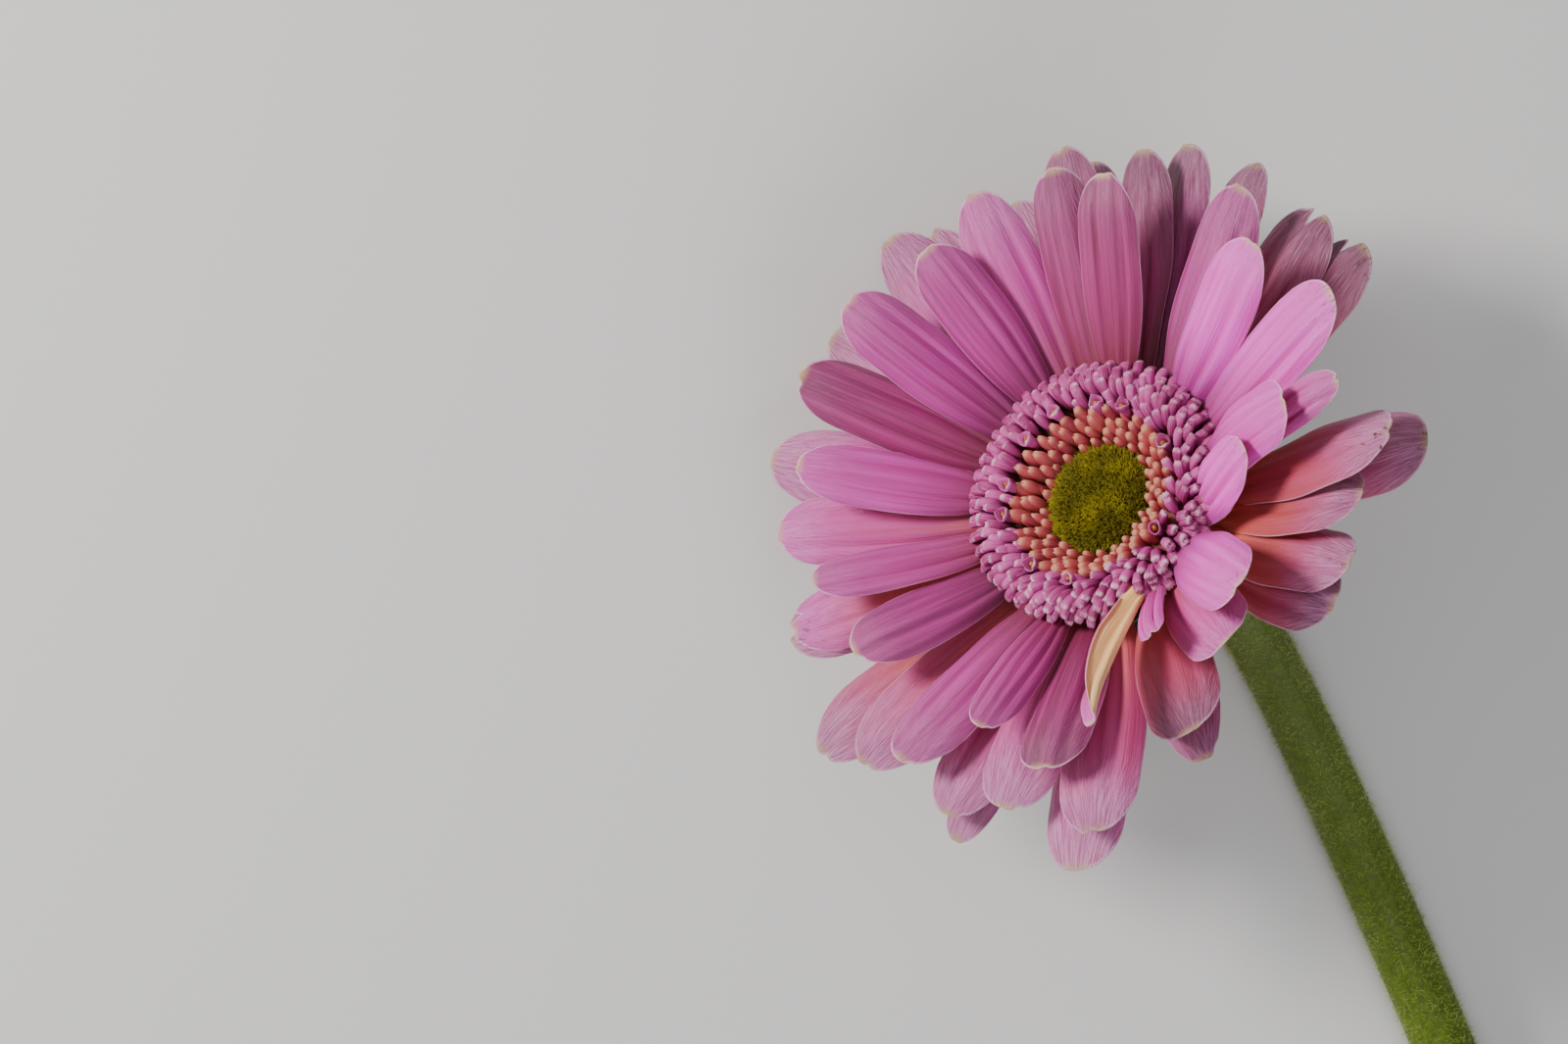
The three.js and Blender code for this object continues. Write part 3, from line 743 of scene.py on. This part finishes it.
def revolved(name, outline, sides):
    """A closed body turned round Z from an outline of (radius, height), which runs up its outside."""
    points, faces, along, rings = [], [], [], []
    for number, (radius, height) in enumerate(outline):
        count = sides if radius else 1
        rings.append(range(len(points), len(points) + count))
        for k in range(count):
            angle = 2 * math.pi * k / sides
            points.append((radius * math.cos(angle), radius * math.sin(angle), height))
            along.append(number / (len(outline) - 1))
    pairs = list(zip(rings, rings[1:]))
    if len(rings[0]) > 1 and len(rings[-1]) > 1:
        pairs.append((rings[-1], rings[0]))
    for low, high in pairs:
        for k in range(sides):
            after = (k + 1) % sides
            corners = ((low, k), (low, after), (high, after), (high, k))
            faces.append(tuple(dict.fromkeys(ring[number % len(ring)] for ring, number in corners)))
    return mesh_of(name, points, faces, {"along": along})


def rounded(outline, between=4):
    """The outline with a smooth curve through its points."""
    ends = [outline[0], *outline, outline[-1]]
    curve = []
    for a, b, c, d in zip(ends, ends[1:], ends[2:], ends[3:]):
        for k in range(between):
            t = k / between
            point = []
            for p, q, r, s in zip(a, b, c, d):
                square, cube = (2 * p - 5 * q + 4 * r - s) * t * t, (3 * q - p - 3 * r + s) * t**3
                point.append(0.5 * (2 * q + (r - p) * t + square + cube))
            curve.append(tuple(point))
    return [*curve, outline[-1]]


def bean(name, length, sections, sides, bend, start, ribs, rib_depth, teeth):
    """A closed body along +X from its sections, which bends down from start on and has ribs and teeth."""
    points, along, across = [], [], []
    place, slope, before = np.array([0.0, 0.0]), 0.0, 0.0
    for number, (share, wide, deep) in enumerate(sections):
        slope = -math.radians(bend) * float(smooth((share - start) / (1 - start)))
        way = np.array([math.cos(slope), math.sin(slope)])
        place = place + way * (share - before) * length
        before = share
        for k in range(sides):
            angle = 2 * math.pi * k / sides
            swell = 1 + rib_depth * math.cos(ribs * angle)
            jut = teeth * (k % 2) if number == len(sections) - 2 else 0.0
            y = wide * swell * math.cos(angle)
            z = deep * swell * math.sin(angle)
            points.append((place[0] - z * way[1] + jut * way[0], y, place[1] + z * way[0] + jut * way[1]))
            along.append(share)
            across.append(math.cos(angle))
    faces = tube_faces(len(sections), sides) + tube_ends(len(sections), sides)
    return mesh_of(name, points, faces, {"along": along, "across": across})


def cup_mesh():
    """A disc floret that has just opened: a tube along +X whose two lips part round the pollen."""
    outline = [(0.0, 0.0), (0.5, 0.0), (0.7, 1.6), (0.92, 3.0), (1.2, 4.3)]
    outline += [(1.04, 4.25), (0.62, 3.1), (0.4, 2.4), (0.0, 2.3)]  # and down its inside
    along = [0.0, 0.1, 0.4, 0.75, 0.97, 0.8, 0.3, 0.2, 0.1]
    lips_from, lips_over = 2.4, 1.6
    mesh = revolved("cup", outline, 15)
    steps = numbers_of(mesh, "along") * (len(outline) - 1)
    set_numbers(mesh, "along", np.interp(steps, range(len(along)), along))
    set_numbers(mesh, "across", 0 * steps)
    for vertex in mesh.vertices:
        angle = math.atan2(vertex.co.y, vertex.co.x)
        lips = float(smooth((vertex.co.z - lips_from) / lips_over))
        outer = 0.5 + 0.5 * math.cos(angle)
        vertex.co.x = vertex.co.x * (1 - 0.3 * lips) + 0.35 * lips * outer
        vertex.co.z += lips * (0.75 * math.cos(angle) ** 2 - 0.9 + 0.35 * outer + 0.16 * math.cos(5 * angle))
    mesh.transform(Matrix.Rotation(math.pi / 2, 4, "Y"))
    return mesh


def pollen_mesh():
    """The five anthers of an opened floret, as one short ribbed column."""
    sections = [(0.5, 0.3, 0.24), (0.75, 0.42, 0.32), (0.86, 0.36, 0.26), (0.9, 0.12, 0.1)]
    shape = {"sides": 10, "bend": 0, "start": 0.5, "ribs": 5, "rib_depth": 0.16, "teeth": 0.0}
    return bean("pollen", CUP_LENGTH, sections, **shape)


def seat(azimuth, radius, height, rise, size, length, dice, wobble):
    """Where a floret's foot goes for its tip to be at a radius and height, and how it stands."""
    tip_strays, smaller, larger = 0.3, 0.9, 1.08
    roll = math.radians(dice.uniform(-wobble, wobble))
    rise = math.radians(rise + dice.uniform(-wobble, wobble) * 0.6)
    yaw = azimuth + math.radians(dice.uniform(-wobble, wobble) * 0.8)
    scale = size * dice.uniform(smaller, larger)
    out = radius + dice.uniform(-tip_strays, tip_strays)
    out -= DISC_TIGHTER * max(0, -math.sin(azimuth)) * (radius - TIGHTER_FROM) / TIGHTER_OVER
    height += dice.uniform(-tip_strays, tip_strays)
    tip = Vector((out * math.cos(azimuth), out * math.sin(azimuth), height))
    way = Vector((math.cos(rise) * math.cos(yaw), math.cos(rise) * math.sin(yaw), math.sin(rise)))
    lean_to = math.radians(DISC_LEAN_TO)
    way += Vector((math.cos(lean_to), math.sin(lean_to), 0)) * math.tan(math.radians(DISC_LEAN))
    way.normalize()
    rise, yaw = math.asin(way.z), math.atan2(way.y, way.x)
    foot = tip - way * length * scale
    return (tuple(foot), (roll, -rise, yaw), (scale, scale * dice.uniform(0.88, 1.08), scale), dice.random())


def ring_seats(rows, length, dice, wobble):
    """Seats in staggered rings round the face, with room left for the opened cups."""
    stray, room, rows_near = 0.16, 0.11, 1
    cups = [math.radians(degrees) for degrees in CUP_AZIMUTHS]
    seats = []
    for number, (count, radius, height, rise, size) in enumerate(rows):
        for k in range(count):
            azimuth = 2 * math.pi * (k + 0.5 * (number % 2) + dice.uniform(-stray, stray)) / count
            made = seat(azimuth, radius, height, rise, size, length, dice, wobble)
            crowded = any(abs(math.remainder(azimuth - cup, 2 * math.pi)) < room for cup in cups)
            if not (crowded and abs(radius - CUPS[0]) < rows_near):
                seats.append(made)
    return seats


def disc(tree):
    dice = random.Random(5)
    finish = floret_finish()
    shape = {"sides": 12, "bend": 54, "start": 0.42, "ribs": 6, "rib_depth": 0.06, "teeth": 0.24}
    tongues = bean("floret", FLORET_LENGTH, FLORET_SECTIONS, **shape)
    seats = ring_seats(OPEN_FLORET_ROWS, FLORET_LENGTH, dice, 10)
    opened = planted("open_florets", tree, tongues, seats, finish)
    piece("open_florets", opened, ["outer_disc_florets"])
    shape = {"sides": 10, "bend": 10, "start": 0.2, "ribs": 5, "rib_depth": 0.07, "teeth": 0.16}
    seats = ring_seats(BUD_ROWS, BUD_LENGTH, dice, 7)
    buds = planted("buds", tree, bean("bud", BUD_LENGTH, BUD_SECTIONS, **shape), seats, bud_finish())
    piece("closed_buds", buds, ["inner_disc_florets"])
    radius, height, rise, size = CUPS
    seats = [seat(math.radians(a), radius, height, rise, size, CUP_LENGTH, dice, 16) for a in CUP_AZIMUTHS]
    piece("opened_cups", planted("cups", tree, cup_mesh(), seats, finish))
    anthers = planted("pollen", tree, pollen_mesh(), seats, patchy_finish("anther"))
    piece("pollen", anthers)
    # A dark bed under the florets: painted shade that fills the gaps between them
    bed = revolved("floret_bed", BED, 64)
    bed.materials.append(patchy_finish("floret_bed"))
    piece("floret_bed", bed)


def bristled_centre(pile):
    """A low dome covered with short bristles, but for its foot."""
    foot = 1.5
    finish = centre_finish()
    dome = revolved("centre", [(0.0, CENTRE[0][1]), *rounded(CENTRE)], 48)
    tall = np.array([vertex.co.z for vertex in dome.vertices])
    set_numbers(dome, "along", 0 * tall)
    set_numbers(dome, "fuzz", tall > foot)
    growth = {"per_mm2": 42, "lean": 38, "shortest": 0.6, "longest": 1.5, "seed": 4}
    bristles = piled("bristles", pile, spike_mesh(0.085, 3), dome.copy(), finish, **growth)
    dome.materials.append(finish)
    piece("centre_dome", dome, ["disc_centre"])
    piece("centre_bristles", bristles)


def spike_mesh(radius, sides, lean=0.0, levels=((0.0, 1.0), (0.5, 0.75), (0.85, 0.4))):
    """A spike 1 high that stands on the origin and leans over towards its point."""
    points, along = [], []
    for height, share in levels:
        for k in range(sides):
            angle = 2 * math.pi * k / sides
            x = radius * share * math.cos(angle) + lean * height * height
            points.append((x, radius * share * math.sin(angle), height))
            along.append(height)
    points.append((lean, 0, 1))
    along.append(1.0)
    faces = tube_faces(len(levels), sides)
    last = (len(levels) - 1) * sides
    faces += [(last + k, last + (k + 1) % sides, len(points) - 1) for k in range(sides)]
    faces.append(tuple(range(sides))[::-1])
    return mesh_of("spike", points, faces, {"along": along})


# ---- Under the head ----


def receptacle():
    mesh = revolved("receptacle", RECEPTACLE, 64)
    mesh.materials.append(patchy_finish("receptacle_skin"))
    piece("receptacle_body", mesh, ["receptacle"])


BRACT_THICKNESS = 0.6
# For each row of bracts: its CAD solid, how many, the radius and height of their feet, and a bract's length,
# width, rise and bend
BRACT_ROWS = {
    "bracts_inner": ("inner_bracts", 21, 9.4, -12.6, (13.0, 4.0, 62, -30)),
    "bracts_outer": ("outer_bracts", 17, 6.2, -16.2, (13.2, 3.9, 44, 0)),
}


def bract_mesh(length, width, rise, bend):
    look = {**PLAIN, "point": 0.75, "claw": 0.7, "widest": 0.3, "taper": 0.5, "curl": 10, "crown": 0.28}
    look["grooves"] = [(0.0, -0.25)]
    points, faces, attributes = tongue(length, width, BRACT_THICKNESS, rise, bend, look, along=14, across=9)
    return mesh_of("bract", points, faces, attributes)


def bracts(tree):
    """Two rows of scales that wrap the receptacle from below."""
    dice = random.Random(8)
    finish = bract_finish()
    for name, (node, count, radius, height, shape) in BRACT_ROWS.items():
        seats = []
        for k in range(count):
            angle = 2 * math.pi * (k + dice.uniform(-0.1, 0.1)) / count
            place = (radius * math.cos(angle), radius * math.sin(angle), height + dice.uniform(-0.3, 0.3))
            turn = (math.radians(dice.uniform(-8, 8)), math.radians(dice.uniform(-3, 3)), angle)
            scale = dice.uniform(0.92, 1.06)
            seats.append((place, turn, (scale, scale, scale), dice.random()))
        piece(name, planted(name, tree, bract_mesh(*shape), seats, finish), [node])


# ---- The stem ----


def bezier(a, b, c, d, steps):
    t = np.linspace(0, 1, steps)[:, None]
    return a * (1 - t) ** 3 + 3 * b * t * (1 - t) ** 2 + 3 * c * t * t * (1 - t) + d * t**3


def heading(degrees):
    return np.array([math.cos(math.radians(degrees)), math.sin(math.radians(degrees)), 0])


def stem_line():
    """Points along the middle of the stem, in millimetres, as the CAD model lays it."""
    unturned = about_z(-TURN) @ HEAD
    centre = np.array(unturned.translation) / MM
    back = -np.array(unturned.to_3x3() @ Vector((0, 0, 1))) / MM
    top = centre + back * (-RECEPTACLE[0][1] + NECK_GAP)
    landing = np.array([centre[0] + NECK_LANDS[0], centre[1] + NECK_LANDS[1], STEM_RADIUS_TOP])
    out, last = heading(NECK_HEADING), heading(STEM_END_HEADING)
    reach = np.linalg.norm(landing - top) * NECK_REACH
    third = STEM_LENGTH_ON_TABLE / 3
    rest = landing + out * third
    middle = (out + last) / np.linalg.norm(out + last)
    end = rest + middle * third + last * third
    end[2] = STEM_RADIUS_CUT
    neck = bezier(top, top + back * reach, landing - out * reach, landing, steps=60)
    run = bezier(landing, rest, end - last * third, end, steps=180)
    line = np.concatenate([neck, run[1:]])
    return line @ np.array(about_z(TURN, 3)).T


def stem_mesh(sides=48):
    line = stem_line()
    steps = np.linalg.norm(np.diff(line, axis=0), axis=1)
    share = np.concatenate([[0], np.cumsum(steps)]) / steps.sum()
    ways = np.gradient(line, axis=0)
    ways /= np.linalg.norm(ways, axis=1, keepdims=True)
    angles = 2 * np.pi * np.arange(sides) / sides
    points = []
    side = np.array([0.0, 0.0, 1.0])
    for number, (centre, way) in enumerate(zip(line, ways)):
        side = side - way * side.dot(way)
        side /= np.linalg.norm(side)
        other = np.cross(way, side)
        radius = STEM_RADIUS_TOP + (STEM_RADIUS_CUT - STEM_RADIUS_TOP) * share[number]
        radius += NECK_FLARE * math.exp(-share[number] * NECK_FLARE_FADES)
        ribs = STEM_RIB * np.cos(9 * angles) + STEM_RIB * np.cos(4 * angles + 14 * share[number])
        width = (radius + ribs)[:, None]
        slant = math.tan(math.radians(CUT_SLANT)) * smooth((share[number] - CUT_FROM) / CUT_OVER)
        ring = centre + side * width * np.cos(angles)[:, None] + other * width * np.sin(angles)[:, None]
        ring = ring + way * slant * width * np.sin(angles)[:, None]
        points.append(ring)
    for shrink, bare in CUT_RINGS:
        ring = line[-1] + (points[len(line) - 1] - line[-1]) * shrink
        points.append(ring - ways[-1] * CUT_HOLLOW * (1 - shrink))
    count = len(points)
    points = np.concatenate(points)
    points[:, 2] = np.maximum(points[:, 2], 0)
    along = np.repeat([*share, *np.ones(len(CUT_RINGS))], sides)
    cut = np.repeat([*(0 * share), *(bare for shrink, bare in CUT_RINGS)], sides)
    numbers = {"along": along, "across": np.tile(angles / (2 * np.pi), count), "cut": cut}
    numbers["fuzz"] = (cut == 0) * (0.55 + 0.45 * np.exp(-along * 5))
    return mesh_of("stem", points, tube_faces(count, sides) + tube_ends(count, sides), numbers)


def stem(pile):
    """The stem with its down: short hairs all over, in two lengths of stem, and a few long ones."""
    mesh = stem_mesh()
    finish = hair_finish()
    to_metres = Matrix.Scale(MM, 4)
    along, fuzz = numbers_of(mesh, "along"), numbers_of(mesh, "fuzz")
    tall = np.array([vertex.co.z for vertex in mesh.vertices])
    off_table, well_off_table = smooth((tall - 0.6) / 0.8), smooth((tall - 2.6) / 0.8)
    down, long_hair = spike_mesh(0.032, 3, 0.5, [(0.0, 1.0), (0.6, 0.7)]), spike_mesh(0.03, 3, 1.0)
    # For each lot: where it grows, how many to a square millimetre, lean, shortest, longest, and seed
    lots = [
        ("stem_down_upper", down, fuzz * off_table * (along < 0.5), 8.5, 45, 0.35, 1.0, 9),
        ("stem_down_lower", down, fuzz * off_table * (along >= 0.5), 8.5, 45, 0.35, 1.0, 10),
        ("stem_long_hairs", long_hair, fuzz * well_off_table, 0.12, 60, 1.3, 3.2, 11),
    ]
    for name, template, share, *numbers in lots:
        host = mesh.copy()
        set_numbers(host, "fuzz", share)
        piece(name, piled(name, pile, template, host, finish, *numbers), (), to_metres)
    mesh.materials.append(stem_finish())
    piece("stem_body", mesh, ["stem"], to_metres)


# ---- The table, the light and the camera ----

LENS, FILM_WIDTH = 150, 36
CAMERA_ABOVE_HEAD = 855
CAMERA_ASIDE = (-42.7, -2.1)  # of the camera from the head's centre, before the flower's turn
ROOM_COLOUR, ROOM_LIGHT = (0.9, 0.93, 1.0), 0.26
# For each lamp: where it is from the head's centre, its size, its watts and its colour
LAMPS = [
    ("key", (-740, 290, 410), 260, 11.5, (1.0, 0.97, 0.93)),
    ("fill", (260, -620, 520), 420, 3.0, (0.96, 0.98, 1.0)),
    ("top", (60, 120, 900), 700, 1.2, (1.0, 1.0, 1.0)),
]


def from_head(x, y, z):
    """A point given from the head's centre before the flower's turn, in the flower's frame."""
    return HEAD.translation + about_z(TURN, 3) @ Vector((x, y, z)) * MM


def table_top():
    mesh = mesh_of("table", [(-3, -3, 0), (3, -3, 0), (3, 3, 0), (-3, 3, 0)], [(0, 1, 2, 3)], {})
    mesh.materials.append(floor_finish())
    linked("table_top", mesh)


def lights():
    for name, place, size, watts, colour in LAMPS:
        lamp = bpy.data.lights.new(name, "AREA")
        lamp.size = size * MM
        lamp.energy = watts
        lamp.color = colour
        thing = linked(name, lamp)
        thing.location = from_head(*place)
        thing.rotation_mode = "QUATERNION"
        thing.rotation_quaternion = (thing.location - HEAD.translation).to_track_quat("Z", "Y")
    world = bpy.data.worlds.new("room")
    world.use_nodes = True
    sky = world.node_tree.nodes["Background"].inputs
    sky["Color"].default_value = (*ROOM_COLOUR, 1)
    sky["Strength"].default_value = ROOM_LIGHT
    bpy.context.scene.world = world


def camera():
    data = bpy.data.cameras.new("camera")
    data.lens = LENS
    data.sensor_width = FILM_WIDTH
    thing = linked("camera", data)
    thing.location = from_head(*CAMERA_ASIDE, CAMERA_ABOVE_HEAD)
    thing.rotation_euler = (0, 0, math.radians(TURN))
    bpy.context.scene.camera = thing


camera()
lights()
table_top()
planting, piling = planting_tree(), pile_tree()
ray_petals(petal_finish())
disc(planting)
bristled_centre(piling)
receptacle()
bracts(planting)
stem(piling)

bpy.context.view_layer.update()
